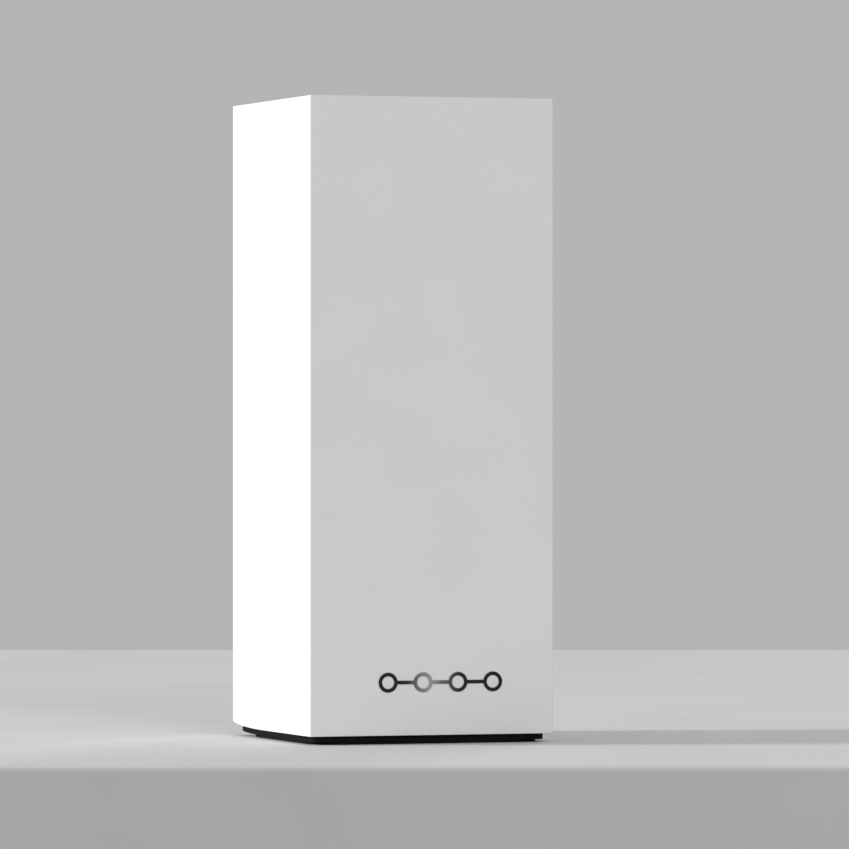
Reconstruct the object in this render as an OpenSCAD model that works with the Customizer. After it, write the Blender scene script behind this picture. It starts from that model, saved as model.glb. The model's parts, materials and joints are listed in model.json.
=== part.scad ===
// Mesh Wi-Fi node: a square tower with a chimney of heatsinks, a port bay at
// the rear, a perforated vent on top and a rubber ring foot underneath.
// Origin: centre of the footprint, on the surface that the foot stands on.
// +Z is up, -Y is the plain front face with the emblem, +Y is the port side.

/* [Body] */
// Width and depth of the square tower
body_w = 88.9; // [88:0.1:96]
// Height from the table to the top rim
total_h = 223.5; // [222:0.5:260]
// Wall thickness of the outer sleeve
wall = 2.4; // [2:0.1:2.6]
// Radius of the sleeve's vertical edges
edge_r = 0.6; // [0.3:0.1:2]
// Height of the sleeve's lower edge above the table
foot_gap = 3; // [2.6:0.1:3.2]

/* [Lower edge] */
// How far the sleeve's lower edge rises at the rear
rear_lift = 2.2; // [1:0.1:2.8]
// Length over which the side walls' lower edge rises
rear_sweep = 37; // [20:1:40]
// Inset of the rubber foot from the sleeve
foot_inset = 2.2; // [2:0.1:4]
// Corner radius of the rubber foot's upper step
foot_r = 3; // [2:0.5:6]
// Radius of the two front corners of the tread, the face that the node stands on
tread_r = 11; // [6:0.5:16]
// Radius of the two rear corners of the tread
tread_rear_r = 20; // [12:1:24]
// Height of the tread
tread_h = 0.9; // [0.5:0.1:1]
// How far the foot's upper step rises at the rear
foot_lift = 1.4; // [0.5:0.1:1.5]
// Length over which the foot's upper step rises
foot_sweep = 19; // [12:1:30]
// Width of the rubber ring
foot_ring = 8.4; // [7:0.1:9]

/* [Top vent] */
// Depth of the vent below the rim
vent_recess = 3.5; // [2:0.1:5]
// Thickness of the vent plate
vent_t = 2.4; // [2:0.1:3]
// Pitch of the honeycomb holes
cell_pitch = 4.7; // [4.4:0.1:6]
// Radius of the largest honeycomb hole
cell_r = 2.2; // [1.6:0.1:2.3]
// Radius of the status light's lens
lens_r = 4; // [3:0.1:5]

/* [Port bay] */
// Width of the window in the rear wall
bay_w = 74; // [74:0.5:76]
// Height of the window in the rear wall
bay_h = 52; // [51:0.5:54]
// Height of the window's centre above the table
bay_z = 42; // [42:0.5:44]
// Depth from the rear face to the port panel
bay_depth = 10; // [9.5:0.1:10.5]
// Distance between Ethernet sockets
jack_pitch = 17; // [16.6:0.1:17]
// Height of the Ethernet row above the table
jack_z = 52.5; // [52:0.5:54]
// Height of the power and button row above the table
row_z = 28.5; // [28:0.5:29]

/* [Controls] */
// Angle between the power rocker's two positions
rocker_swing = 20; // [14:1:20]
// Travel of the pairing button
pair_travel = 0.7; // [0.3:0.1:0.9]
// Travel of the reset button
reset_travel = 0.6; // [0.3:0.1:0.8]

/* [Electronics] */
// Number of fins on the front heatsink
front_fins = 12; // [8:1:14]
// Number of fins on the rear heatsink
rear_fins = 9; // [6:1:11]

/* [Hidden] */
$fn = 48;
eps = 0.01;
half = body_w / 2;
inner = half - wall;               // half the clear width inside the sleeve
fit = 0.2;                         // assembly clearance between moulded parts
past = 1;                          // how far a cut runs past the face that it opens

// Levels, from the table up
base_z = foot_gap + 0.4;           // underside of the base plate
base_t = 3;
base_top = base_z + base_t;
head_seat = 1.8;                   // depth of the counterbores in the base plate
deck_low = 8;                      // lower plate of the chassis
deck_t = 2;
pcb_z0 = 14;
pcb_z1 = 194;
deck_top = total_h - 19.5;         // upper plate of the chassis
deck_top_t = 1.6;
vent_top = total_h - vent_recess;
vent_z = vent_top - vent_t;

// Status light
pipe_r = 2.2;                      // stem of the light pipe
lens_t = 1.6;                      // depth of the lens below the vent's face
lens_proud = 0.2;
led_t = 1.2;                       // status light's board
led_z = deck_top + 3;
led_screw_x = 5.5;
led_screw_y = -4.5;

// Main board and what stands on it
pcb_w = 68;
pcb_t = 1.6;
pcb_front = 12;
pcb_rear = pcb_front + pcb_t;
shield_t = 0.3;
pad_t = 0.8;
front_shield_h = 3.1;
rear_shield_h = 2.6;
front_sink_y = pcb_front - front_shield_h - pad_t;
rear_sink_y = pcb_rear + rear_shield_h + pad_t;

// Chassis side plates
plate_x = 36;
plate_t = 1.6;
plate_out = plate_x + plate_t;
plate_y = 30;                      // half the plates' depth
thread_r = 1.3;                    // screw holes in the chassis

// Port bay
panel_y = half - bay_depth;        // outer face of the port panel
panel_t = 2;
panel_back = panel_y - panel_t;
tray_wall = 1.6;
tray_r = 4.8;
flange = 3;

// Ethernet socket
jack_count = 4;                    // each socket has nodes of its own
jack_w = 15.6;
jack_h = 13.4;
jack_proud = 0.3;
jack_len = panel_y + jack_proud - pcb_rear;
cavity_w = 11.9;
cavity_h = 7;
cavity_d = 14;
cavity_low = 3.4;                  // floor of the cavity above the socket's underside
latch_w = 6.4;
latch_h = 1.7;
jack_mouth_y = panel_y + jack_proud - shield_t;
window = [2.8, 1.5];               // indicator windows above the cavity
window_x = 5;
window_drop = 1.7;                 // their centre below the socket's top
window_d = 6;
contact_count = 8;
contact_pitch = 1.02;

// Power socket, pairing button and rocker
dc_x = -(jack_count - 1) / 2 * jack_pitch;
dc_bore_r = 3.15;
dc_bore_d = 10;
dc_pin_r = 1.05;
dc_pin_len = 9;
dc_nose_r = 4;
dc_root = panel_y + fit - dc_bore_d;   // bottom of the bore
pair_r = 4;
pair_proud = 0.6;
pair_joint = 22;                   // where the button's stem meets the switch plunger
plunger_floor = 1.2;               // wall of the switch behind its plunger
plunger_spare = 0.5;               // room left behind a pressed plunger
switch_x = (jack_count - 1) / 2 * jack_pitch;
rocker_r = 6.2;
rocker_w = 7.4;
rocker_pivot_y = panel_y - 0.85;
rocker_face = 1;                   // depth of the rocker's valley in front of the pivot
pivot_r = 0.9;
pivot_len = 1.2;                   // each pivot beyond the rocker's side
switch_w = 11.2;
switch_h = 15;

// Reset button
reset_x = 12;
reset_y = pcb_front - 1.8;
reset_r = 1.5;
reset_joint = 12.4;                // where the button meets the switch plunger
reset_plunger_h = 4.4;

// Fastener places
base_screw = 24;
shell_screw = half - 6.25;
pcb_screw_x = 31.5;
pcb_screw_z = [17, 64, 182];
front_sink_screws = [[-24, 70], [24, 70], [-24, 180], [24, 180]];
rear_sink_screws = [[-20, 97], [20, 97], [-20, 176], [20, 176]];

// Heatsinks
front_sink_w = 60;
front_sink_z = [66, 184];
rear_sink_w = 54;
rear_sink_z = [92, 182];
fin_t = 1.4;
post_r = 2.6;
post_hole_r = 1.2;

// Radio cans, each as its lowest X and Z and its highest X and Z
front_cans = [[-20, 105, 20, 145], [-20, 150, 20, 172]];
rear_cans = [[-20, 104, 20, 170]];
can_margin = 3;                    // border of a can that its thermal pad leaves free

// Antennas
antennas_per_side = 3;             // each antenna is a node of its own
antenna_y = [-20, -2, 25];
antenna_w = 10;
antenna_z = [146, 198];
antenna_t = 0.8;
antenna_face = plate_x - 0.1 - antenna_t;
arm_w = 7;
arm_z = [[150, 169], [175, 194]];  // the two copper arms of each antenna
arm_t = 0.1;
feed_z = 172;                      // where the cable meets the antenna
coax_r = 0.55;
coax_z = [190.6, 193.4, 197];      // height at which each cable crosses to the side
coax_side = [33.9, 32.4, 33.2];    // where each cable runs along the side plate
coax_x = [23, 15, 7];              // board connectors of the cables

JACKS = [for (i = [1:jack_count]) i];
SIDES = [for (s = [-1, 1]) for (i = [0:antennas_per_side - 1]) [s, i]];

// ---------- shared shapes ----------

// A rectangle with true round corners, centred.
module round_rect(w, h, r) {
    square([w - 2 * r, h], center = true);
    square([w, h - 2 * r], center = true);
    for (x = [-1, 1], y = [-1, 1])
        translate([x * (w / 2 - r), y * (h / 2 - r)]) circle(r);
}

// A box given by its lowest and highest corners.
module block(low, high) {
    translate(low) cube(high - low);
}

// A rounded slab standing in the XZ plane, from y0 to y1, centred on [x, z].
module rear_slab(x, z, w, h, r, y0, y1) {
    translate([x, y1, z]) rotate([90, 0, 0])
        linear_extrude(y1 - y0) round_rect(w, h, r);
}

// A cylinder along Y, from y0 to y1.
module rod_y(x, z, r, y0, y1) {
    translate([x, y1, z]) rotate([90, 0, 0]) cylinder(h = y1 - y0, r = r);
}

// A pan-head screw with a cross recess: head above the origin, shank below it.
module screw(head_r, head_h, shank_r, shank_len) {
    recess = [head_r * 1.1, head_r * 0.28, head_h];
    difference() {
        cylinder(h = head_h, r = head_r);
        for (a = [0, 90]) rotate([0, 0, a]) translate([0, 0, head_h]) cube(recess, center = true);
    }
    translate([0, 0, -shank_len]) cylinder(h = shank_len + eps, r = shank_r);
}

// Copies of the children at the four places [+-d, +-d].
module four(d) {
    for (x = [-1, 1], y = [-1, 1]) translate([x * d, y * d, 0]) children();
}

function unit(v) = v / norm(v);
function along(path, i) = unit(
    (i > 0 ? unit(path[i] - path[i - 1]) : [0, 0, 0]) +
    (i < len(path) - 1 ? unit(path[i + 1] - path[i]) : [0, 0, 0]));
// A point of the ring round path[i]: the ring stays level or upright with the path.
function ring(path, i, r, sides) =
    let (t = along(path, i),
         up = abs(t[2]) > 0.9 ? [0, 1, 0] : [0, 0, 1],
         a = unit(cross(t, up)),
         b = cross(a, t))
    [for (k = [0:sides - 1]) path[i] + r * (cos(360 * k / sides) * a + sin(360 * k / sides) * b)];

// ---------- casing ----------

// Clearance under an edge that rises by lift over the last stretch before y_end.
module sweep_profile(y_end, stretch, lift) {
    steps = 24;
    y0 = y_end - stretch;
    polygon(concat(
        [[y_end + past, -past], [y0, -past], [y0, 0]],
        [for (i = [1:steps]) let (a = 90 * i / steps)
            [y0 + stretch * sin(a), lift * (1 - cos(a))]],
        [[y_end + past, lift]]
    ));
}

// The same clearance cut through the whole width, for an edge that lies at height z.
module sweep_cut(z, y_end, stretch, lift) {
    translate([half + past, 0, z]) rotate([90, 0, -90]) mirror([1, 0, 0])
        linear_extrude(body_w + 2 * past) sweep_profile(y_end, stretch, lift);
}

module outer_shell() {
    inner_r = 2;
    ledge = 1.5;                   // rim inside the sleeve that the vent rests on
    ledge_h = 2.2;
    boss_r = 2.8;
    boss_h = 5.2;
    boss_z = base_top + 0.1;
    web = 4.2;                     // block that ties a boss to the sleeve's corner
    pilot_r = 1.15;                // screw hole in a boss
    color("white") difference() {
        union() {
            difference() {
                translate([0, 0, foot_gap])
                    linear_extrude(total_h - foot_gap) round_rect(body_w, body_w, edge_r);
                translate([0, 0, foot_gap - past])
                    linear_extrude(total_h - foot_gap + 2 * past)
                        round_rect(2 * inner, 2 * inner, inner_r);
            }
            translate([0, 0, vent_z - ledge_h]) linear_extrude(ledge_h) difference() {
                square(2 * inner + wall, center = true);
                square(2 * (inner - ledge), center = true);
            }
            four(shell_screw) translate([0, 0, boss_z]) cylinder(h = boss_h, r = boss_r);
            for (x = [-1, 1], y = [-1, 1])
                translate([x * (shell_screw + web / 2), y * (shell_screw + web / 2),
                           boss_z + boss_h / 2])
                    cube([web, web, boss_h], center = true);
        }
        // window for the port bay
        rear_slab(0, bay_z, bay_w, bay_h, tray_r + fit, half - wall - past, half + past);
        sweep_cut(foot_gap, half, rear_sweep, rear_lift);
        four(shell_screw) translate([0, 0, boss_z - past]) cylinder(h = boss_h, r = pilot_r);
    }
}

// Emblem: four rings joined by bars, like hops of a mesh network.
module front_emblem() {
    proud = 0.25;
    ring_r = 3.45;
    stroke = 1.25;
    spacing = 12.75;
    hops = 3;
    centre_x = 3;
    centre_z = 21.3;
    x0 = centre_x - hops / 2 * spacing;
    color("dimgray")
    translate([0, -half, centre_z]) rotate([90, 0, 0]) linear_extrude(proud) difference() {
        union() {
            for (i = [0:hops]) translate([x0 + i * spacing, 0]) circle(ring_r);
            translate([x0, -stroke / 2]) square([hops * spacing, stroke]);
        }
        for (i = [0:hops]) translate([x0 + i * spacing, 0]) circle(ring_r - stroke);
    }
}

// Honeycomb cells that shrink towards the plate's corners, clear of the middle and the rim.
module honeycomb() {
    rim = 3;
    middle = lens_r + 5;
    shrink = 0.75;                 // how much smaller a cell is at the middle of a side
    corner = 1.4;                  // distance, in reaches, past which cells shrink no further
    reach = inner - rim;
    row = cell_pitch * sqrt(3) / 2;
    count = ceil(reach / row);
    for (j = [-count:count], i = [-count:count])
        let (x = (i + (j % 2 == 0 ? 0 : 0.5)) * cell_pitch, y = j * row,
             d = min(norm([x, y]) / reach, corner), r = cell_r - shrink * d * d)
        if (max(abs(x), abs(y)) < reach - cell_r && norm([x, y]) > middle)
            translate([x, y]) rotate(30) circle(r, $fn = 6);
}

module top_vent() {
    gap = 0.15;
    w = 2 * (inner - gap);
    corner_r = 1.9;
    collar_r = 5.6;
    collar_z = vent_z - 4.6;
    color("whitesmoke") difference() {
        union() {
            translate([0, 0, vent_z]) linear_extrude(vent_t) difference() {
                round_rect(w, w, corner_r);
                honeycomb();
            }
            translate([0, 0, collar_z]) cylinder(h = vent_z - collar_z + eps, r = collar_r);
        }
        translate([0, 0, collar_z - past])
            cylinder(h = vent_top - collar_z + 2 * past, r = pipe_r + gap);
        translate([0, 0, vent_top - lens_t - 0.1]) cylinder(h = lens_t + past, r = lens_r + 0.1);
    }
}

module light_pipe() {
    stem_z = led_z + 2.6;          // just above the light source
    lens_z = vent_top - lens_t;
    color("aliceblue") {
        translate([0, 0, lens_z]) cylinder(h = lens_t + lens_proud, r = lens_r);
        translate([0, 0, stem_z]) cylinder(h = lens_z - stem_z + eps, r = pipe_r);
    }
}

module base_plate() {
    w = 2 * (inner - fit);
    corner_r = 1.8;
    slot = [34, 2];                // air slots in two groups of four
    slot_pitch = 3.5;
    color("#202124") difference() {
        translate([0, 0, base_z]) linear_extrude(base_t) difference() {
            round_rect(w, w, corner_r);
            for (i = [0:3], y = [17, -28.5])
                translate([-slot[0] / 2, y + slot_pitch * i - slot[1] / 2]) square(slot);
            translate([reset_x, reset_y]) circle(reset_r + 0.25);
        }
        // counterbored places for the chassis screws and the hidden sleeve screws
        for (d = [base_screw, shell_screw]) four(d) {
            translate([0, 0, base_z - past]) cylinder(h = past + head_seat, r = 3);
            translate([0, 0, base_z]) cylinder(h = base_t + past, r = 1.6);
        }
    }
}

// A square with true round corners, of one radius at the front and another at the rear.
module foot_outline(w, front_r, rear_r) {
    intersection() {
        round_rect(w, w, front_r);
        translate([-w, -2 * w]) square([2 * w, 2 * w + eps]);
    }
    intersection() {
        round_rect(w, w, rear_r);
        translate([-w, 0]) square(2 * w);
    }
}

// Ring under the base plate: a tread on the table, and a wider step above it whose underside
// rises at the rear as the sleeve's lower edge does.
module rubber_foot() {
    w = body_w - 2 * foot_inset;
    tread_w = w - 0.6;
    seat_w = 2 * (inner - 2 * fit);
    opening = w - 2 * foot_ring;
    color("#151515") difference() {
        union() {
            linear_extrude(foot_gap) foot_outline(tread_w, tread_r, tread_rear_r);
            difference() {
                translate([0, 0, tread_h]) linear_extrude(foot_gap - tread_h)
                    round_rect(w, w, foot_r);
                sweep_cut(tread_h, w / 2, foot_sweep, foot_lift);
            }
            translate([0, 0, foot_gap - eps]) linear_extrude(base_z - foot_gap + eps)
                round_rect(seat_w, seat_w, 2);
        }
        translate([0, 0, -past]) linear_extrude(base_z + 2 * past)
            round_rect(opening, opening, 3);
    }
}

module base_label() {
    label_t = 0.15;
    label_y = -5.5;
    color("lightgray") translate([0, label_y, base_z - label_t])
        linear_extrude(label_t) round_rect(36, 22, 1.5);
}

// ---------- port bay ----------

// A rectangular cut through the port panel.
module panel_window(x, z, w, h) {
    block([x - w / 2, panel_back - past, z - h / 2], [x + w / 2, panel_y + past, z + h / 2]);
}

module port_tray() {
    w = bay_w - 2 * fit;
    h = bay_h - 2 * fit;
    sunk = 0.4;                    // the tray's rim below the sleeve's rear face
    flange_t = 1.5;
    gap = 0.15;                    // round what passes through the panel
    color("#26282b") difference() {
        union() {
            rear_slab(0, bay_z, w, h, tray_r, panel_back, half - sunk);
            rear_slab(0, bay_z, w + 2 * flange, h + 2 * flange, tray_r + 1,
                      half - wall - flange_t, half - wall);
        }
        rear_slab(0, bay_z, w - 2 * tray_wall, h - 2 * tray_wall, tray_r - tray_wall,
                  panel_y, half + past);
        for (i = JACKS) panel_window(jack_x(i), jack_z, jack_w + 2 * gap, jack_h + 2 * gap);
        rod_y(dc_x, row_z, dc_nose_r + fit, panel_back - past, panel_y + past);
        rod_y(0, row_z, pair_r + gap, panel_back - past, panel_y + past);
        panel_window(switch_x, row_z, switch_w + 2 * gap, switch_h + 2 * gap);
    }
}

function jack_x(i) = (i - (jack_count + 1) / 2) * jack_pitch;

// The socket's opening seen from the rear: plug cavity with the latch channel below.
module jack_mouth(grow = 0) {
    translate([0, cavity_low - jack_h / 2 + cavity_h / 2])
        square([cavity_w + 2 * grow, cavity_h + 2 * grow], center = true);
    translate([0, cavity_low - jack_h / 2 - latch_h / 2 + eps])
        square([latch_w + 2 * grow, latch_h + 2 * grow], center = true);
}

// Places of the two small indicator windows above the opening.
module jack_windows(grow = 0) {
    for (s = [-1, 1]) translate([s * window_x, jack_h / 2 - window_drop])
        square(window + 2 * grow * [1, 1], center = true);
}

module in_jack(i, y0, y1) {
    translate([jack_x(i), y1, jack_z]) rotate([90, 0, 0]) linear_extrude(y1 - y0) children();
}

module ethernet_shield(i) {
    mouth = panel_y + jack_proud;
    mouth_gap = 0.15;
    window_gap = 0.1;
    color("silver") difference() {
        in_jack(i, pcb_rear, mouth) square([jack_w, jack_h], center = true);
        in_jack(i, pcb_rear - past, jack_mouth_y)
            square([jack_w - 2 * shield_t, jack_h - 2 * shield_t], center = true);
        in_jack(i, pcb_rear, mouth + past) {
            jack_mouth(mouth_gap);
            jack_windows(window_gap);
        }
    }
}

module ethernet_insert(i) {
    gap = 0.05;
    skin = shield_t + gap;
    color("#1b1b1d") difference() {
        in_jack(i, pcb_rear, jack_mouth_y - gap)
            square([jack_w - 2 * skin, jack_h - 2 * skin], center = true);
        in_jack(i, jack_mouth_y - cavity_d, jack_mouth_y + past) jack_mouth();
        in_jack(i, jack_mouth_y - window_d, jack_mouth_y + past) jack_windows(0.02);
    }
}

// Eight sprung wires on the cavity's ceiling, sloping down into it.
module ethernet_contacts(i) {
    ceiling = jack_z - jack_h / 2 + cavity_low + cavity_h;
    t = 0.25;
    w = 0.44;
    first_x = jack_x(i) - (contact_count - 1) / 2 * contact_pitch - w / 2;
    color("gold") for (k = [0:contact_count - 1])
        translate([first_x + k * contact_pitch, jack_mouth_y, ceiling])
            rotate([90, 0, 90]) linear_extrude(w) polygon([
                [-2.2, 0], [-2.2, -t], [-2.9, -t - 0.1], [-11.4, -2.1], [-11.6, -1.9],
                [-4, 0]]);
}

module ethernet_leds() {
    gap = 0.05;
    proud = 0.1;
    color("palegreen") for (i = JACKS)
        in_jack(i, jack_mouth_y - window_d, jack_mouth_y + proud) jack_windows(-gap);
}

module dc_jack_body() {
    shoulder = panel_back - 0.25;
    w = 9.2;
    h = 11.2;
    slot_w = 2.2;                  // for the outer contact spring
    slot_d = 4.3;
    color("#19191b") difference() {
        union() {
            block([dc_x - w / 2, pcb_rear, row_z - h / 2], [dc_x + w / 2, shoulder, row_z + h / 2]);
            rod_y(dc_x, row_z, dc_nose_r, shoulder - past, panel_y + fit);
        }
        rod_y(dc_x, row_z, dc_bore_r, dc_root, panel_y + past);
        block([dc_x - slot_w / 2, dc_root, row_z - slot_d],
              [dc_x + slot_w / 2, shoulder - 0.4, row_z]);
    }
}

module dc_jack_pin() {
    color("gainsboro") rod_y(dc_x, row_z, dc_pin_r, dc_root, dc_root + dc_pin_len);
}

module dc_jack_spring() {
    w = 1.8;
    color("gainsboro")
        translate([dc_x - w / 2, dc_root, row_z]) rotate([90, 0, 90]) linear_extrude(w)
            polygon([[0, -4.2], [0.4, -4.2], [6.4, -3.2], [6.2, -2.95], [0.4, -3.9], [0, -3.9]]);
}

module switch_body() {
    bezel_t = 1;
    bezel = [13, 17];
    bezel_r = 1.2;
    well_d = 5;                    // depth of the well behind the rocker's axis
    gap = 0.2;
    well_w = rocker_w + 2 * gap;
    well_h = 2 * (rocker_r + gap);
    socket_len = rocker_w + 2 * (pivot_len + gap);
    color("#101012") difference() {
        union() {
            block([switch_x - switch_w / 2, pcb_rear, row_z - switch_h / 2],
                  [switch_x + switch_w / 2, panel_y + eps, row_z + switch_h / 2]);
            rear_slab(switch_x, row_z, bezel[0], bezel[1], bezel_r, panel_y, panel_y + bezel_t);
        }
        block([switch_x - well_w / 2, rocker_pivot_y - well_d, row_z - well_h / 2],
              [switch_x + well_w / 2, panel_y + bezel_t + past, row_z + well_h / 2]);
        translate([switch_x - socket_len / 2, rocker_pivot_y, row_z]) rotate([0, 90, 0])
            cylinder(h = socket_len, r = pivot_r + 0.05);
    }
}

// Rocker drawn level, with its axis along X through the origin and its face towards +Y.
module rocker_level() {
    back = 3.5;                    // the rocker's rear face behind its axis
    reach = rocker_r + past;
    rim = rocker_face + tan(rocker_swing / 2) * reach;
    rotate([90, 0, 90]) translate([0, 0, -rocker_w / 2]) linear_extrude(rocker_w)
        intersection() {
            circle(rocker_r);
            polygon([[-back, -reach], [-back, reach], [rim, reach], [rocker_face, 0],
                     [rim, -reach]]);
        }
    translate([-rocker_w / 2 - pivot_len, 0, 0]) rotate([0, 90, 0])
        cylinder(h = rocker_w + 2 * pivot_len, r = pivot_r);
}

module power_rocker() {
    color("#2c2e31") translate([switch_x, rocker_pivot_y, row_z])
        rotate([rocker_swing / 2, 0, 0]) rocker_level();
}

module pair_button() {
    flange_y = panel_back - 0.2;
    flange_t = 1;
    stem_y = flange_y - flange_t / 2;
    color("#3a3d41") {
        rod_y(0, row_z, pair_r, stem_y, panel_y + pair_proud);
        rod_y(0, row_z, pair_r + 1.2, flange_y - flange_t, flange_y);
        rod_y(0, row_z, 1.5, pair_joint, stem_y);
    }
}

module pair_plunger() {
    end_y = pcb_rear + plunger_floor + pair_travel + plunger_spare;
    color("black") rod_y(0, row_z, 1.7, end_y, pair_joint);
}

module pair_switch() {
    w = 6;
    depth = 3.8;
    color("dimgray") difference() {
        block([-w / 2, pcb_rear, row_z - w / 2], [w / 2, pcb_rear + depth, row_z + w / 2]);
        rod_y(0, row_z, 1.8, pcb_rear + plunger_floor, pcb_rear + depth + past);
    }
}

module reset_button() {
    low = base_z + 0.8;            // recessed, for a pin or a pen
    color("#d9413a") translate([reset_x, reset_y, 0]) {
        translate([0, 0, low]) cylinder(h = reset_joint - low, r = reset_r);
        translate([0, 0, base_top + 0.05]) cylinder(h = 1, r = 2.6);
    }
}

module reset_plunger() {
    color("black") translate([reset_x, reset_y, reset_joint])
        cylinder(h = reset_plunger_h, r = 0.9);
}

module reset_switch() {
    w = 6;
    depth = 3.6;
    z0 = pcb_z0 + 1;
    hole_top = reset_joint + reset_plunger_h + reset_travel + plunger_spare;
    color("dimgray") difference() {
        block([reset_x - w / 2, pcb_front - depth, z0], [reset_x + w / 2, pcb_front, z0 + w]);
        translate([reset_x, reset_y, z0 - past]) cylinder(h = hole_top - z0 + past, r = 1);
    }
}

// ---------- chassis and electronics ----------

// A box on side s of the middle, from x0 outwards to x1.
module side_block(s, x0, x1, y0, y1, z0, z1) {
    block([min(s * x0, s * x1), y0, z0], [max(s * x0, s * x1), y1, z1]);
}

module side_plate(s) {
    window = [21, 30];             // lightening windows below the antennas
    difference() {
        side_block(s, plate_x, plate_out, -plate_y, plate_y, deck_low, deck_top + deck_top_t);
        for (y = [-24, 3], z = [24, 74, 110])
            side_block(s, plate_x - past, plate_out + past, y, y + window[0], z, z + window[1]);
    }
}

// Ear that holds the main board by a screw.
module board_ear(s, z) {
    root_x = 28;
    gap = 0.1;
    depth = 6;
    h = 7;
    difference() {
        side_block(s, root_x, plate_x + 0.5, pcb_rear + gap, pcb_rear + gap + depth,
                   z - h / 2, z + h / 2);
        rod_y(s * pcb_screw_x, z, thread_r, pcb_rear, pcb_rear + 5);
    }
}

module chassis() {
    tongue = 34;                   // half the decks' depth
    air = [18, 30];                // air window of the lower deck
    bar = 8;                       // arms of the upper deck
    post_h = 6.4;
    boss_r = 1.5;
    screw_r = 0.8;
    stretcher_h = 6;
    color("#4a4d50") {
        for (s = [-1, 1]) {
            side_plate(s);
            for (z = pcb_screw_z) board_ear(s, z);
        }
        // lower plate, open for the air and the reset button
        difference() {
            union() {
                block([-plate_out, -tongue, deck_low], [plate_out, tongue, deck_low + deck_t]);
                four(base_screw) translate([0, 0, base_top]) cylinder(h = post_h, r = 3.4);
            }
            for (y = [[-air[1], 4], [16, air[1]]])
                block([-air[0], y[0], deck_low - past], [air[0], y[1], deck_low + deck_t + past]);
            translate([reset_x, reset_y, deck_low - past])
                cylinder(h = deck_t + 2 * past, r = reset_r + 1.6);
            four(base_screw) translate([0, 0, base_top - past])
                cylinder(h = post_h + 2 * past, r = thread_r);
        }
        // upper deck: a rim with arms that carry the status light's board
        difference() {
            union() {
                difference() {
                    block([-plate_out, -tongue, deck_top],
                          [plate_out, tongue, deck_top + deck_top_t]);
                    block([-32, -29, deck_top - past], [32, 29, deck_top + deck_top_t + past]);
                }
                block([-33, -bar / 2, deck_top], [33, bar / 2, deck_top + deck_top_t]);
                block([-bar, -bar, deck_top], [bar, bar, deck_top + deck_top_t]);
                for (s = [-1, 1]) translate([s * led_screw_x, led_screw_y, deck_top])
                    cylinder(h = led_z - deck_top, r = boss_r);
            }
            for (s = [-1, 1]) translate([s * led_screw_x, led_screw_y, deck_top - past])
                cylinder(h = led_z - deck_top + 2 * past, r = screw_r);
        }
        // front stretchers
        for (z = [58, 138])
            block([-plate_x - 0.5, -plate_y - 1, z], [plate_x + 0.5, -plate_y + 1, z + stretcher_h]);
    }
}

module main_board() {
    color("darkgreen") difference() {
        block([-pcb_w / 2, pcb_front, pcb_z0], [pcb_w / 2, pcb_rear, pcb_z1]);
        for (s = [-1, 1], z = pcb_screw_z)
            rod_y(s * pcb_screw_x, z, 1.6, pcb_front - past, pcb_rear + past);
        for (p = concat(front_sink_screws, rear_sink_screws))
            rod_y(p[0], p[1], 1.5, pcb_front - past, pcb_rear + past);
    }
}

// Fins run up and down, so that warm air rises between them.
module fins(count, w, y0, y1, z) {
    for (i = [0:count - 1]) let (x = (i / (count - 1) - 0.5) * (w - fin_t))
        block([x - fin_t / 2, y0, z[0]], [x + fin_t / 2, y1, z[1]]);
}

module front_heatsink() {
    plate = 4;
    reach = 26;                    // from the plate's board side to the fins' tips
    hole_d = 2.5;
    color("silver") difference() {
        union() {
            block([-front_sink_w / 2, front_sink_y - plate, front_sink_z[0]],
                  [front_sink_w / 2, front_sink_y, front_sink_z[1]]);
            fins(front_fins, front_sink_w, front_sink_y - reach, front_sink_y - plate + 0.1,
                 front_sink_z);
            for (p = front_sink_screws) rod_y(p[0], p[1], post_r, front_sink_y - 0.5, pcb_front);
        }
        for (p = front_sink_screws)
            rod_y(p[0], p[1], post_hole_r, front_sink_y - hole_d, pcb_front + past);
    }
}

module rear_heatsink() {
    plate = 3;
    reach = 15;
    hole_d = 2;
    color("silver") difference() {
        union() {
            block([-rear_sink_w / 2, rear_sink_y, rear_sink_z[0]],
                  [rear_sink_w / 2, rear_sink_y + plate, rear_sink_z[1]]);
            fins(rear_fins, rear_sink_w, rear_sink_y + plate - 0.1, rear_sink_y + reach,
                 rear_sink_z);
            for (p = rear_sink_screws) rod_y(p[0], p[1], post_r, pcb_rear, rear_sink_y + 0.5);
        }
        for (p = rear_sink_screws)
            rod_y(p[0], p[1], post_hole_r, pcb_rear - past, rear_sink_y + hole_d);
    }
}

module thermal_pads() {
    color("lightpink") {
        for (c = front_cans)
            block([c[0] + can_margin, front_sink_y, c[1] + can_margin],
                  [c[2] - can_margin, front_sink_y + pad_t, c[3] - can_margin]);
        for (c = rear_cans)
            block([c[0] + can_margin, rear_sink_y - pad_t, c[1] + can_margin],
                  [c[2] - can_margin, rear_sink_y, c[3] - can_margin]);
    }
}

// A pressed can over the radio circuits: open towards the board, from y_board to y_lid.
module can(c, y_board, y_lid) {
    s = sign(y_lid - y_board);
    difference() {
        block([c[0], min(y_board, y_lid), c[1]], [c[2], max(y_board, y_lid), c[3]]);
        block([c[0] + shield_t, min(y_board - s, y_lid - s * shield_t), c[1] + shield_t],
              [c[2] - shield_t, max(y_board - s, y_lid - s * shield_t), c[3] - shield_t]);
    }
}

module front_rf_shield() {
    color("gainsboro") for (c = front_cans) can(c, pcb_front, pcb_front - front_shield_h);
}

module rear_rf_shield() {
    color("gainsboro") for (c = rear_cans) can(c, pcb_rear, pcb_rear + rear_shield_h);
}

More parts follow.
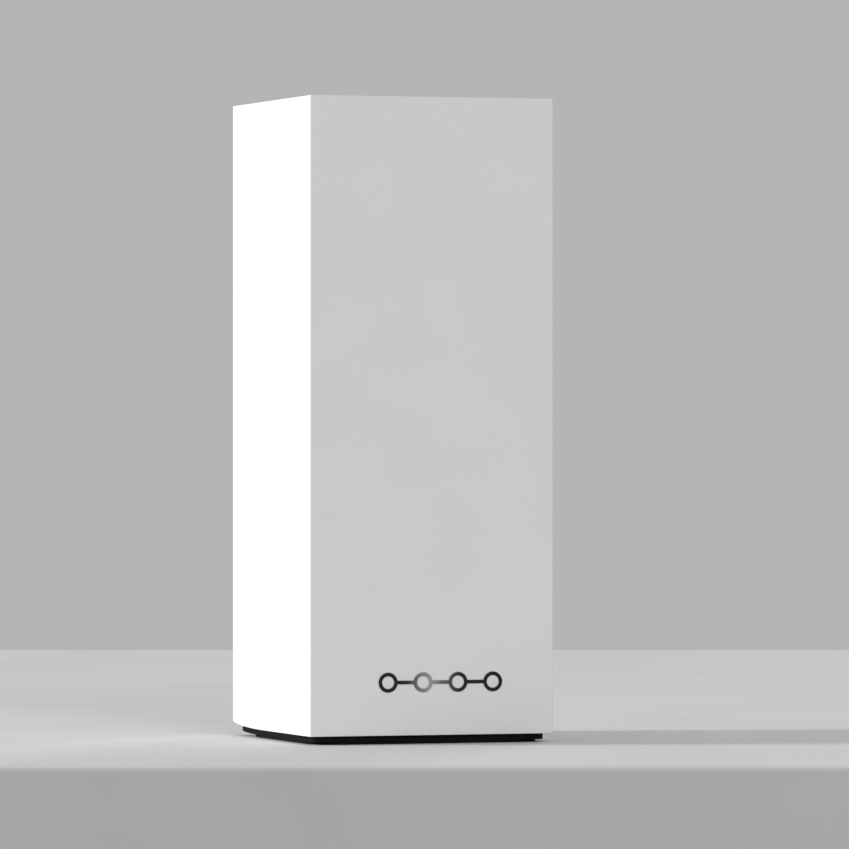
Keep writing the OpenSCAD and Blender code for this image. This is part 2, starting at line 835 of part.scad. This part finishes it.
// A package standing t proud of the board's face at y0, towards -Y where t is negative.
module chip(x, z, w, h, y0, t) {
    block([x - w / 2, min(y0, y0 + t), z - h / 2], [x + w / 2, max(y0, y0 + t), z + h / 2]);
}

module processor() {
    color("#222222") chip(0, 126, 17, 17, pcb_front, -1.5);
}

module memory_chips() {
    color("#2a2a2a") {
        for (x = [-13.6, 13.6]) chip(x, 126, 8, 12.5, pcb_front, -1.1);
        chip(0, 110.5, 8, 6, pcb_front, -1);
    }
}

module radio_chips() {
    color("#262626") {
        for (z = [114, 137, 160]) chip(0, z, 9, 9, pcb_rear, 0.9);
        for (z = [114, 137, 160]) for (x = [-14, 14]) chip(x, z, 4, 4, pcb_rear, 0.8);
        for (x = [-12, 0, 12]) chip(x, 161, 6, 6, pcb_front, -0.9);
    }
}

module magnetics() {
    color("#1c1c1c") for (x = [-14, 14]) chip(x, 80, 17, 12, pcb_rear, 6);
}

module capacitors() {
    color("#35506b") for (p = [[-27, 32], [-27, 44], [-16, 32], [27, 40]])
        rod_y(p[0], p[1], 4, pcb_front - 11.5, pcb_front);
}

module inductors() {
    color("#555555") for (p = [[-14, 48], [-4, 48], [6, 48], [16, 48]])
        chip(p[0], p[1], 7, 7, pcb_front, -4);
}

// Antenna board on the inner face of a side plate, with two raised copper arms.
module antenna(s, i) {
    y = antenna_y[i];
    lap = 0.05;                    // how deep the copper sits in the board
    color("seagreen")
        side_block(s, antenna_face, antenna_face + antenna_t, y - antenna_w / 2,
                   y + antenna_w / 2, antenna_z[0], antenna_z[1]);
    color("orange") for (z = arm_z)
        side_block(s, antenna_face - arm_t, antenna_face + lap, y - arm_w / 2, y + arm_w / 2,
                   z[0], z[1]);
}

// From a board connector: up, across to the side plate, along it, and down to the feed point.
function coax_path(s, i) =
    let (x0 = s * coax_x[i], x1 = s * coax_side[i], z = coax_z[i], bend = 2,
         y0 = pcb_front - 1.7, y1 = antenna_y[i], ahead = sign(y1 - y0))
    [
        [x0, y0, 188.3],
        [x0, y0, z - bend / 2],
        [x0 + s * bend / 4, y0, z - bend / 6],
        [x0 + s * bend, y0, z],
        [x1 - s * bend, y0, z],
        [x1 - s * bend / 4, y0 + ahead * bend / 4, z],
        [x1, y0 + ahead * bend, z],
        [x1, y1 - ahead * bend, z],
        [x1, y1 - ahead * bend / 4, z - bend / 4],
        [x1, y1, z - bend],
        [x1, y1, feed_z + bend],
        [x1 + s * bend / 4, y1, feed_z + bend / 4],
        [s * (plate_x - 1.35), y1, feed_z]
    ];

// A round cable swept along a path, closed at both ends.
module cable(path, r, sides) {
    n = len(path);
    polyhedron(
        points = [for (i = [0:n - 1]) each ring(path, i, r, sides)],
        faces = concat(
            [[for (k = [sides - 1:-1:0]) k]],
            [for (i = [0:n - 2]) for (k = [0:sides - 1])
                [i * sides + k, i * sides + (k + 1) % sides,
                 (i + 1) * sides + (k + 1) % sides, (i + 1) * sides + k]],
            [[for (k = [0:sides - 1]) (n - 1) * sides + k]]
        ));
}

module antenna_cables() {
    color("#3d3d3d") for (p = SIDES) cable(coax_path(p[0], p[1]), coax_r, 8);
}

module coax_connectors() {
    side = 3;
    color("gold") for (p = SIDES)
        chip(p[0] * coax_x[p[1]], 186.8, side, side, pcb_front, -2.4);
}

module led_board() {
    w = 15;
    socket_h = 1.3;
    color("darkgreen") difference() {
        block([-w / 2, -w / 2, led_z], [w / 2, w / 2, led_z + led_t]);
        for (s = [-1, 1]) translate([s * led_screw_x, led_screw_y, led_z - past])
            cylinder(h = led_t + 2 * past, r = 0.9);
    }
    // light source, and the ribbon's socket underneath
    color("white") block([-1.8, -1.4, led_z + led_t - eps], [1.8, 1.4, led_z + led_t + 1]);
    color("ivory") block([-3.2, 4, led_z - socket_h], [3.2, 7.4, led_z + eps]);
}

// Flat ribbon from the top of the main board to the status light's board.
module led_cable() {
    w = 5;
    t = 0.3;
    y = pcb_front - 1.6;
    y_socket = 7.4;
    z_low = 189.8;
    z_top = led_z - 0.5;
    color("ivory") translate([-w / 2, 0, 0]) rotate([90, 0, 90]) linear_extrude(w) polygon([
        [y, z_low], [y, z_top], [y_socket, z_top], [y_socket, z_top - t], [y - t, z_top - t],
        [y - t, z_low]]);
    color("ivory") chip(0, 188.2, 6.4, 3.2, pcb_front, -2);
}

// ---------- fasteners ----------

module base_screws() {
    color("#8a8d91") four(base_screw) translate([0, 0, base_z + head_seat]) mirror([0, 0, 1])
        screw(2.8, 1.5, 1.25, 6.6);
}

module shell_screws() {
    color("#8a8d91") four(shell_screw) translate([0, 0, base_z + head_seat]) mirror([0, 0, 1])
        screw(2.8, 1.5, 1.1, 5.4);
}

module board_screws() {
    color("#8a8d91") for (s = [-1, 1], z = pcb_screw_z)
        translate([s * pcb_screw_x, pcb_front, z]) rotate([90, 0, 0]) screw(2.6, 1.8, 1.25, 6);
}

module heatsink_screws() {
    color("#8a8d91") {
        for (p = front_sink_screws)
            translate([p[0], pcb_rear, p[1]]) rotate([-90, 0, 0]) screw(2.4, 1.6, 1.15, 6);
        for (p = rear_sink_screws)
            translate([p[0], pcb_front, p[1]]) rotate([90, 0, 0]) screw(2.4, 1.6, 1.15, 6);
    }
}

module led_screws() {
    color("#8a8d91") for (s = [-1, 1])
        translate([s * led_screw_x, led_screw_y, led_z + led_t])
        screw(1.5, 0.8, 0.75, 3.6);
}

// ---------- what is drawn ----------

outer_shell();
front_emblem();
top_vent();
light_pipe();
base_plate();
rubber_foot();
base_label();
port_tray();
for (i = JACKS) {
    ethernet_shield(i);
    ethernet_insert(i);
    ethernet_contacts(i);
}
ethernet_leds();
dc_jack_body();
dc_jack_pin();
dc_jack_spring();
switch_body();
power_rocker();
pair_button();
pair_plunger();
pair_switch();
reset_button();
reset_plunger();
reset_switch();
chassis();
main_board();
front_heatsink();
rear_heatsink();
thermal_pads();
front_rf_shield();
rear_rf_shield();
processor();
memory_chips();
radio_chips();
magnetics();
capacitors();
inductors();
for (k = [0:len(SIDES) - 1])
    antenna(SIDES[k][0], SIDES[k][1]);
antenna_cables();
coax_connectors();
led_board();
led_cable();
base_screws();
shell_screws();
board_screws();
heatsink_screws();
led_screws();
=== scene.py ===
"""Looks of a tall mesh wifi node: white sleeve, vented top, rear port bay, black ring foot."""

import json
import math

import bmesh
import bpy
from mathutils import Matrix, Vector


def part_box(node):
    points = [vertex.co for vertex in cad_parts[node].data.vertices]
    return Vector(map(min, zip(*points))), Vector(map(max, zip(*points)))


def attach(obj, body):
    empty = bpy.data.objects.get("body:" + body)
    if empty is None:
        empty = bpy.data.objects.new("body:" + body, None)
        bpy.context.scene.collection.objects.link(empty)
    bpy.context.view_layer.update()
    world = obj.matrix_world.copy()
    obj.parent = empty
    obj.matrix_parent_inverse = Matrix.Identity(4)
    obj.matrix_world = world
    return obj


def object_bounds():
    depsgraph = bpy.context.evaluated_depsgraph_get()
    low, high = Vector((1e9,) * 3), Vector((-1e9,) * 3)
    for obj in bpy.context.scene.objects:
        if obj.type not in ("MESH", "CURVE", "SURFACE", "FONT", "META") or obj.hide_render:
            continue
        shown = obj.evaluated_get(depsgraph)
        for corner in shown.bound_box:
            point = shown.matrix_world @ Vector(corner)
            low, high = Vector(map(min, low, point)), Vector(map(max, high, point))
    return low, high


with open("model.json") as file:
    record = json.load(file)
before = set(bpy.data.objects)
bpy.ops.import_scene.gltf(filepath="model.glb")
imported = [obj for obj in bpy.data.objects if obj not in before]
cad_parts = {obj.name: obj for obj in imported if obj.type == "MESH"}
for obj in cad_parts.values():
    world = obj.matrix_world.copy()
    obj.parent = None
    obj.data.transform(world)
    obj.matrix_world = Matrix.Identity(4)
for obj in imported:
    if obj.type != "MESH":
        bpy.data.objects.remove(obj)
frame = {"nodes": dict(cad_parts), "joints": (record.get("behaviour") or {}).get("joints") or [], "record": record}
cad_low, cad_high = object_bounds()
nodes = frame["nodes"]
MM = 0.001
MICRON = 1e-6


# ---------- node helpers ----------

class Graph:
    """Short calls for building one material's node tree."""

    def __init__(self, name):
        self.material = bpy.data.materials.new(name)
        self.material.use_nodes = True
        self.tree = self.material.node_tree
        self.tree.nodes.clear()
        self.out = self.tree.nodes.new("ShaderNodeOutputMaterial")
        self.bsdf = self.tree.nodes.new("ShaderNodeBsdfPrincipled")
        self.link(self.bsdf.outputs[0], self.out.inputs["Surface"])
        self.coord = self.tree.nodes.new("ShaderNodeTexCoord")
        self.normal = None

    def link(self, a, b):
        self.tree.links.new(a, b)

    def stretched(self, stretch):
        """Object coordinates, squeezed along some axes to draw a pattern out along the others."""
        mapping = self.tree.nodes.new("ShaderNodeMapping")
        mapping.inputs["Scale"].default_value = stretch
        self.link(self.coord.outputs["Object"], mapping.inputs["Vector"])
        return mapping.outputs[0]

    def noise(self, size, detail=3.0, rough=0.55, stretch=(1, 1, 1), seed=0.0):
        """Noise whose blobs are about size metres across."""
        noise = self.tree.nodes.new("ShaderNodeTexNoise")
        noise.noise_dimensions = "4D"
        noise.inputs["W"].default_value = seed
        noise.inputs["Scale"].default_value = 1 / size
        noise.inputs["Detail"].default_value = detail
        noise.inputs["Roughness"].default_value = rough
        self.link(self.stretched(stretch), noise.inputs["Vector"])
        return noise.outputs["Fac"]

    def cells(self, size, feature="F1", stretch=(1, 1, 1)):
        """Distances in a pattern of cells about size metres across."""
        cells = self.tree.nodes.new("ShaderNodeTexVoronoi")
        cells.feature = feature
        cells.inputs["Scale"].default_value = 1 / size
        self.link(self.stretched(stretch), cells.inputs["Vector"])
        return cells.outputs["Distance"]

    def spread(self, value, low, high, start=0.35, end=0.65):
        """Maps a pattern's start..end to low..high."""
        mapped = self.tree.nodes.new("ShaderNodeMapRange")
        mapped.inputs["From Min"].default_value = start
        mapped.inputs["From Max"].default_value = end
        mapped.inputs["To Min"].default_value = low
        mapped.inputs["To Max"].default_value = high
        self.link(value, mapped.inputs["Value"])
        return mapped.outputs[0]

    def ramp(self, value, stops):
        """Greys along 0..1, given as (place, tone) stops."""
        ramp = self.tree.nodes.new("ShaderNodeValToRGB")
        while len(ramp.color_ramp.elements) < len(stops):
            ramp.color_ramp.elements.new(0.5)
        for element, (place, tone) in zip(ramp.color_ramp.elements, stops):
            element.position = place
            element.color = (*grey(tone), 1)
        self.link(value, ramp.inputs["Fac"])
        return ramp.outputs["Color"]

    def mix(self, factor, a, b):
        """The colour a where factor is 0 and b where it is 1."""
        mix = self.tree.nodes.new("ShaderNodeMix")
        mix.data_type = "RGBA"
        self.link(factor, mix.inputs["Factor"])
        mix.inputs["A"].default_value = (*a, 1)
        mix.inputs["B"].default_value = (*b, 1)
        return mix.outputs["Result"]

    def bump(self, height, depth, strength=1.0):
        """Stacks one more bump, depth metres deep."""
        bump = self.tree.nodes.new("ShaderNodeBump")
        bump.inputs["Strength"].default_value = strength
        bump.inputs["Distance"].default_value = depth
        self.link(height, bump.inputs["Height"])
        if self.normal is not None:
            self.link(self.normal, bump.inputs["Normal"])
        self.normal = bump.outputs[0]

    def set(self, **values):
        """Sets the shader's sockets, spelled with _ for a space, to numbers or to links."""
        for name, value in values.items():
            socket = self.bsdf.inputs[name.replace("_", " ")]
            if isinstance(value, (int, float)):
                socket.default_value = value
            else:
                self.link(value, socket)

    def done(self):
        if self.normal is not None:
            self.link(self.normal, self.bsdf.inputs["Normal"])
        return self.material


def grey(tone):
    return (tone, tone, tone)


def shade(colour, factor):
    return tuple(min(1.0, channel * factor) for channel in colour)


# ---------- materials ----------

ACRYLIC_IOR = 1.49


def moulded(name, colour, rough, grain=0.35 * MM, depth=8 * MICRON, drift=0.03, coat=0.0):
    """Moulded plastic: fine grain over a faint waviness, slow drift of tone, faint rub marks."""
    g = Graph(name)
    cloud = g.noise(24 * MM, detail=4, seed=2.0)
    rub = g.noise(7 * MM, detail=6, rough=0.7, stretch=(1, 1, 0.35), seed=5.0)
    waves = g.noise(38 * MM, detail=1, seed=9.0)
    g.set(Base_Color=g.mix(g.spread(cloud, 0, 1), shade(colour, 1 - drift), shade(colour, 1 + drift)),
          Roughness=g.spread(rub, rough - 0.05, rough + 0.05), Coat_Weight=coat)
    g.bump(g.noise(grain, detail=2, seed=1.0), depth)
    g.bump(waves, 45 * MICRON, strength=0.5)
    return g.done()


def metal(name, colour, rough, stretch, grain=0.28 * MM, depth=2 * MICRON):
    """Metal with a drawn or brushed grain along the axis that stretch squeezes."""
    g = Graph(name)
    lines = g.noise(grain, detail=4, rough=0.65, stretch=stretch)
    cloud = g.noise(9 * MM, detail=5, seed=3.0)
    g.set(Base_Color=g.mix(g.spread(cloud, 0, 1), shade(colour, 0.9), shade(colour, 1.06)),
          Roughness=g.spread(lines, rough - 0.09, rough + 0.11), Metallic=1.0)
    g.bump(lines, depth)
    return g.done()


def rubber(name, colour, rough, gloss=0.5):
    """Dull rubber: a fine cellular grain, and a little dust that lightens it in patches."""
    g = Graph(name)
    dust = g.noise(3 * MM, detail=8, rough=0.75, seed=4.0)
    g.set(Base_Color=g.mix(g.spread(dust, 0, 1, 0.5, 0.8), colour, shade(colour, 1.9)),
          Roughness=g.spread(dust, rough - 0.07, rough + 0.1), Specular_IOR_Level=gloss)
    g.bump(g.cells(0.5 * MM), 14 * MICRON)
    return g.done()


def clear(name, colour, rough, transmission):
    """Frosted acrylic that lets part of the light through."""
    g = Graph(name)
    haze = g.noise(1.5 * MM, detail=2)
    g.set(Base_Color=g.mix(g.spread(haze, 0, 1), shade(colour, 0.98), colour),
          Roughness=g.spread(haze, rough, rough + 0.06), Transmission_Weight=transmission,
          IOR=ACRYLIC_IOR)
    g.bump(haze, 1 * MICRON)
    return g.done()


def circuit_board(name, mask):
    """Solder mask over copper: broad tracks seen as a lighter, raised pattern."""
    g = Graph(name)
    tracks = g.cells(3.2 * MM, "DISTANCE_TO_EDGE", stretch=(1, 1, 0.7))
    copper = g.spread(tracks, 1, 0, 0.10, 0.14)
    weave = g.noise(0.6 * MM, detail=1)
    red, green, blue = mask
    over_copper = shade((red + 0.015, green, blue), 1.7)
    g.set(Base_Color=g.mix(copper, mask, over_copper), Roughness=g.spread(weave, 0.26, 0.38),
          Coat_Weight=0.4)
    g.bump(copper, 30 * MICRON)
    g.bump(weave, 3 * MICRON)
    return g.done()


def emblem_metal():
    """Dark satin metal with a painted highlight: a lighter stripe across its middle, fixed to the part's own X."""
    low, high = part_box("front_emblem")
    g = Graph("emblem_metal")
    split = g.tree.nodes.new("ShaderNodeSeparateXYZ")
    g.link(g.coord.outputs["Object"], split.inputs[0])
    across = g.spread(split.outputs["X"], 0, 1, low.x, high.x)
    # painted highlight: the tones rise to a bright stripe across the middle where the metal would reflect light;
    # the dark ends are its own colour
    painted_highlight = g.ramp(across, [(0.0, 0.012), (0.22, 0.02), (0.42, 0.40), (0.52, 0.16), (0.66, 0.02),
                           (1.0, 0.012)])
    brush = g.noise(0.2 * MM, detail=3, stretch=(0.06, 1, 1))
    g.set(Base_Color=painted_highlight, Metallic=0.55, Roughness=g.spread(brush, 0.3, 0.45))
    g.bump(brush, 1.5 * MICRON)
    return g.done()


# the drawn grain of a metal runs along the axis that is squeezed
ALONG_X, ALONG_Y, ALONG_Z = (0.04, 1, 1), (1, 0.04, 1), (1, 1, 0.04)

# one material for each slot of the record: colour, then roughness
finish = {
    "shell_white": moulded("shell_white", grey(0.85), 0.42, drift=0.008),
    "emblem_metal": emblem_metal(),
    "vent_white": moulded("vent_white", grey(0.78), 0.5, drift=0.01),
    "lens_clear": clear("lens_clear", (0.80, 0.84, 0.88), 0.16, 0.35),
    "base_black": moulded("base_black", (0.022, 0.023, 0.026), 0.55, drift=0.2),
    "foot_rubber": rubber("foot_rubber", (0.007, 0.007, 0.0075), 0.85, gloss=0.12),
    "label_grey": moulded("label_grey", (0.50, 0.51, 0.52), 0.35, depth=2 * MICRON),
    "tray_charcoal": moulded("tray_charcoal", (0.030, 0.032, 0.036), 0.52, grain=0.45 * MM,
                             depth=16 * MICRON, drift=0.2),
    "socket_steel": metal("socket_steel", (0.66, 0.66, 0.67), 0.3, ALONG_X),
    "socket_black": moulded("socket_black", (0.014, 0.014, 0.016), 0.45, drift=0.25),
    "contact_gold": metal("contact_gold", (0.86, 0.62, 0.24), 0.22, ALONG_Y),
    "led_lens": clear("led_lens", (0.66, 0.82, 0.58), 0.25, 0.45),
    "pin_nickel": metal("pin_nickel", (0.70, 0.68, 0.64), 0.18, ALONG_Y),
    "switch_black": moulded("switch_black", (0.016, 0.016, 0.018), 0.3, depth=3 * MICRON,
                            drift=0.2, coat=0.2),
    "button_grey": moulded("button_grey", (0.10, 0.105, 0.112), 0.42, drift=0.08),
    "reset_red": moulded("reset_red", (0.55, 0.045, 0.035), 0.4, drift=0.06),
    "plunger_black": moulded("plunger_black", grey(0.015), 0.4, drift=0.2),
    "switch_grey": metal("switch_grey", (0.42, 0.42, 0.43), 0.36, ALONG_X),
    "chassis_grey": moulded("chassis_grey", (0.11, 0.115, 0.12), 0.55, drift=0.08),
    "board_green": circuit_board("board_green", (0.008, 0.085, 0.032)),
    "heatsink_alu": metal("heatsink_alu", (0.78, 0.78, 0.79), 0.34, ALONG_Z),
    "pad_pink": rubber("pad_pink", (0.62, 0.33, 0.36), 0.7),
    "shield_steel": metal("shield_steel", (0.68, 0.68, 0.69), 0.27, ALONG_X),
    "chip_black": moulded("chip_black", (0.017, 0.017, 0.018), 0.6, grain=0.15 * MM, drift=0.25),
    "cap_sleeve": moulded("cap_sleeve", (0.03, 0.06, 0.13), 0.25, depth=1 * MICRON, coat=0.3),
    "ferrite_grey": moulded("ferrite_grey", grey(0.07), 0.7, grain=0.2 * MM,
                            depth=20 * MICRON, drift=0.2),
    "antenna_board": circuit_board("antenna_board", (0.015, 0.13, 0.075)),
    "coax_grey": rubber("coax_grey", grey(0.03), 0.5),
    "ribbon_ivory": moulded("ribbon_ivory", (0.72, 0.70, 0.62), 0.45, drift=0.04),
    "screw_steel": metal("screw_steel", (0.46, 0.46, 0.47), 0.3, ALONG_X),
}

# ---------- CAD nodes: finish and edge rounding ----------

# width in millimetres of each node's rounded edges
EDGE = {"outer_shell": 0.2, "top_vent": 0.12, "base_plate": 0.2, "rubber_foot": 0.1,
        "port_tray": 0.25, "front_emblem": 0.06, "switch_body": 0.2, "power_rocker": 0.08,
        "pair_button": 0.3, "reset_button": 0.15, "light_pipe": 0.3, "chassis": 0.2,
        "front_heatsink": 0.12, "rear_heatsink": 0.12, "capacitors": 0.5, "magnetics": 0.4,
        "inductors": 0.4, "processor": 0.15, "dc_jack_body": 0.15,
        "led_board": 0.04, "led_cable": 0.04}
EDGE |= {f"antenna_{k}": 0.03 for k in range(1, 7)}
DEFAULT_EDGE = 0.06
WIDE_EDGE = 0.2                        # from this width on, an edge gets one more segment
NO_EDGES = {"antenna_cables"}          # round tubes only

# thin flat plates, whose many coplanar triangles are joined before their edges are rounded
PLATES = {"base_plate", "main_board", "led_board"} | {f"antenna_{k}" for k in range(1, 7)}
CREASE = {"power_rocker": 15}          # the least angle in degrees that counts as an edge
DEFAULT_CREASE = 32
COPLANAR = 0.1                         # degrees
SAME_POINT = 2 * MICRON


def all_smooth():
    """A modifier's node group that shades every face smooth, for the normals set after it."""
    group = bpy.data.node_groups.new("all_smooth", "GeometryNodeTree")
    group.interface.new_socket("Geometry", in_out="INPUT", socket_type="NodeSocketGeometry")
    group.interface.new_socket("Geometry", in_out="OUTPUT", socket_type="NodeSocketGeometry")
    last = group.nodes.new("NodeGroupInput")
    for domain in ("FACE", "EDGE"):
        step = group.nodes.new("GeometryNodeSetShadeSmooth")
        step.domain = domain
        group.links.new(last.outputs[0], step.inputs[0])
        last = step
    out = group.nodes.new("NodeGroupOutput")
    group.links.new(last.outputs[0], out.inputs[0])
    return group


SMOOTH = all_smooth()


def weld(stack, name):
    """Joins points that lie on top of each other, so no face is left without area."""
    stack.new(name, "WELD").merge_threshold = SAME_POINT


def round_edges(node, width_mm):
    """Real rounded edges, with flat faces kept flat in the shading."""
    stack = nodes[node].modifiers
    weld(stack, "weld")
    if node in PLATES:
        flat = stack.new("flat", "DECIMATE")
        flat.decimate_type = "DISSOLVE"
        flat.angle_limit = math.radians(COPLANAR)
    stack.new("smooth", "NODES").node_group = SMOOTH
    bevel = stack.new("bevel", "BEVEL")
    bevel.width = width_mm * MM
    bevel.segments = 3 if width_mm >= WIDE_EDGE else 2
    bevel.use_clamp_overlap = False    # the clamp would shrink every edge to suit the tiniest one
    bevel.loop_slide = False
    bevel.limit_method = "ANGLE"
    bevel.angle_limit = math.radians(CREASE.get(node, DEFAULT_CREASE))
    bevel.face_strength_mode = "FSTR_ALL"
    weld(stack, "weld_again")
    normals = stack.new("normals", "WEIGHTED_NORMAL")
    normals.weight = 100               # the largest faces win
    normals.keep_sharp = False
    normals.use_face_influence = True


for part in frame["record"]["subparts"]:
    node = part["node"]
    mesh = nodes[node].data
    mesh.materials.clear()
    mesh.materials.append(finish[part["material_slot"]])
    if node not in NO_EDGES:
        round_edges(node, EDGE.get(node, DEFAULT_EDGE))

# ---------- added detail ----------

CIRCLE_POINTS = 40
RAISED = 0.12 * MM                     # height of the small raised marks
BURIED = 0.05 * MM                     # how deep a mark's foot sits in its surface
# the label's ruled fields in millimetres: centre x and y, width, height, thickness of the line
LABEL_FIELDS = [(0, 0, 33, 19, 0.35), (-8, 4.5, 13, 6, 0.25), (8, 4.5, 13, 6, 0.25),
                (0, -4.5, 29, 6, 0.25)]


def add_object(name, points, faces):
    """A new object in the scene, with all its faces turned outward."""
    mesh = bpy.data.meshes.new(name)
    mesh.from_pydata([Vector(p) for p in points], [], faces)
    shape = bmesh.new()
    shape.from_mesh(mesh)
    bmesh.ops.recalc_face_normals(shape, faces=shape.faces)
    shape.to_mesh(mesh)
    shape.free()
    o = bpy.data.objects.new(name, mesh)
    bpy.context.scene.collection.objects.link(o)
    return o


def add_piece(name, points, faces, slot_name, body):
    """A new piece of the part, which rides on a body."""
    o = add_object(name, points, faces)
    o.data.materials.append(finish[slot_name])
    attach(o, body)


def raised_pad(outline, place, lift):
    """A flat pad on a closed outline, raised by lift. place(point, height) gives the 3-D place."""
    n = len(outline)
    points = [place(p, height) for height in (0, lift) for p in outline]
    sides = [(i, (i + 1) % n, n + (i + 1) % n, n + i) for i in range(n)]
    return points, sides + [tuple(range(n, 2 * n)), tuple(reversed(range(n)))]


def raised_ring(outer, inner, place, lift):
    """A flat ring between two closed outlines with the same number of points, raised by lift."""
    n = len(outer)
    points = [place(p, height) for outline in (outer, inner) for height in (0, lift)
              for p in outline]
    outer_low, outer_high, inner_low, inner_high = 0, n, 2 * n, 3 * n
    faces = []
    for start, end in ((outer_low, outer_high), (outer_high, inner_high),
                       (inner_high, inner_low), (inner_low, outer_low)):
        for i in range(n):
            j = (i + 1) % n
            faces.append((start + i, start + j, end + j, end + i))
    return points, faces


def rectangle(x, y, w, h):
    return [(x + sx * w / 2, y + sy * h / 2) for sx, sy in ((-1, -1), (1, -1), (1, 1), (-1, 1))]


def circle(radius):
    angles = [2 * math.pi * k / CIRCLE_POINTS for k in range(CIRCLE_POINTS)]
    return [(radius * math.cos(angle), radius * math.sin(angle)) for angle in angles]


def button_ring():
    """A fine raised ring on the pairing button's face, to be felt by a finger."""
    outer, inner = 2.3 * MM, 1.85 * MM
    low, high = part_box("pair_button")
    centre = (low + high) / 2

    def on_button(p, height):
        return centre.x + p[0], high.y - BURIED + height, centre.z + p[1]

    points, faces = raised_ring(circle(outer), circle(inner), on_button, RAISED + BURIED)
    add_piece("pair_button_ring", points, faces, "label_grey", "pair_button")


def rocker_marks():
    """Power marks on the rocker's two halves: a bar on the upper and a ring on the lower."""
    valley = 1.0 * MM                  # from the pivot out to the crease between the halves
    reach = 3.0 * MM                   # from the crease to a mark's centre
    bar_w, bar_l = 0.5 * MM, 2.4 * MM
    outer, inner = 1.25 * MM, 0.8 * MM

    hinge = next(j for j in frame["joints"] if j["name"] == "power_rocker_hinge")
    swing = math.radians(hinge["range_deg"][1] - hinge["range_deg"][0])
    crease = Vector(hinge["pos_m"]) + valley * Vector((0, math.cos(swing / 2), math.sin(swing / 2)))

    def on_half(along, out):
        """Places points on the half that runs from the crease along one way and faces out."""
        centre = crease + along * reach

        def place(p, height):
            return centre + Vector((p[0], 0, 0)) + along * p[1] + out * (height - BURIED)
        return place

    upper = on_half(Vector((0, 0, 1)), Vector((0, 1, 0)))
    lower = on_half(Vector((0, math.sin(swing), -math.cos(swing))),
                    Vector((0, math.cos(swing), math.sin(swing))))
    points, faces = raised_pad(rectangle(0, 0, bar_w, bar_l), upper, RAISED + BURIED)
    add_piece("rocker_mark_on", points, faces, "label_grey", "power_rocker")
    points, faces = raised_ring(circle(outer), circle(inner), lower, RAISED + BURIED)
    add_piece("rocker_mark_off", points, faces, "label_grey", "power_rocker")


def label_fields():
    """Blank ruled fields on the underside's label, with no lettering."""
    low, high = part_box("base_label")
    centre = (low + high) / 2

    def under_label(p, height):
        return centre.x + p[0], centre.y + p[1], low.z + BURIED / 2 - height

    points, faces = [], []
    for field in LABEL_FIELDS:
        x, y, w, h, line = (v * MM for v in field)
        ring_points, ring_faces = raised_ring(
            rectangle(x, y, w, h), rectangle(x, y, w - 2 * line, h - 2 * line), under_label, BURIED)
        faces += [tuple(i + len(points) for i in face) for face in ring_faces]
        points += ring_points
    add_piece("base_label_fields", points, faces, "base_black", "housing")


button_ring()
rocker_marks()
label_fields()

# ---------- floor, light and camera ----------

AZIMUTH = math.radians(-18.944)        # the camera's, round the part
BACK = Vector((math.sin(AZIMUTH), -math.cos(AZIMUTH), 0))    # level, from the part to the camera
RIGHT = Vector((math.cos(AZIMUTH), math.sin(AZIMUTH), 0))    # level, to the picture's right
UP = Vector((0, 0, 1))

FITTED_WIDTH = 0.089                   # the part's width when the distances below were fitted
SCALE = (cad_high.x - cad_low.x) / FITTED_WIDTH
DISTANCE, ASIDE, EYE = 2.4248 * SCALE, 0.01176 * SCALE, 0.11045 * SCALE
LENS, SENSOR = 292.04, 36              # millimetres
FAR_CLIP = 50                          # beyond the far end of the shelf

# the shelf, in metres: its reach along BACK and to either side, and its thickness
NEAR, FAR, SIDE, THICK = 0.19, -0.95, 0.75, 0.05
SHELF_EDGE = 0.002                     # width of its rounded edges
WALL_TONE = grey(0.46)                 # the light from all round, seen as the wall behind


def shelf():
    """A shelf squared up to the camera: its far edge stands for the wall's foot."""
    corners = [BACK * back + RIGHT * right
               for back, right in ((NEAR, -SIDE), (NEAR, SIDE), (FAR, SIDE), (FAR, -SIDE))]
    points = [corner + UP * z for z in (-THICK, 0) for corner in corners]
    faces = [(3, 2, 1, 0), (4, 5, 6, 7), (0, 1, 5, 4), (1, 2, 6, 5), (2, 3, 7, 6), (3, 0, 4, 7)]
    o = add_object("floor", points, faces)
    edge = o.modifiers.new("bevel", "BEVEL")
    edge.width, edge.segments = SHELF_EDGE, 3
    g = Graph("floor_pale")
    cloud = g.noise(0.12, detail=3)
    g.set(Base_Color=g.mix(g.spread(cloud, 0, 1), grey(0.53), grey(0.56)),
          Roughness=g.spread(g.noise(0.01, detail=5), 0.7, 0.8), Specular_IOR_Level=0.2)
    o.data.materials.append(g.done())


def add_aimed(name, data, place, direction):
    """A light or camera at a place, looking along a direction."""
    o = bpy.data.objects.new(name, data)
    o.location = place
    o.rotation_mode = "QUATERNION"
    o.rotation_quaternion = direction.to_track_quat("-Z", "Y")
    bpy.context.scene.collection.objects.link(o)
    return o


def area_light(name, place, aim, size, watts):
    data = bpy.data.lights.new(name, "AREA")
    data.shape, data.size, data.energy = "DISK", size, watts
    add_aimed(name, data, place, aim - place)


shelf()
middle = (cad_low + cad_high) / 2
area_light("key", RIGHT * -4.2 + BACK * 0.35 + UP * 1.4, middle, size=0.6, watts=190)
area_light("front", BACK * 3.7 + RIGHT * 1.0 + UP * 1.9, middle, size=1.6, watts=40)
area_light("top", Vector((-0.25, 0.25, 2.4)), Vector((0, 0.15, 0)), size=1.2, watts=6)
area_light("rear", Vector((2.6, 2.9, 1.5)), middle, size=1.6, watts=34)

scene = bpy.context.scene
scene.world = bpy.data.worlds.new("studio")
scene.world.use_nodes = True
scene.world.node_tree.nodes["Background"].inputs["Color"].default_value = (*WALL_TONE, 1)
scene.view_settings.view_transform = "Standard"

camera_data = bpy.data.cameras.new("camera")
camera_data.lens, camera_data.sensor_width, camera_data.clip_end = LENS, SENSOR, FAR_CLIP
scene.camera = add_aimed("camera", camera_data, BACK * DISTANCE + RIGHT * ASIDE + UP * EYE, -BACK)
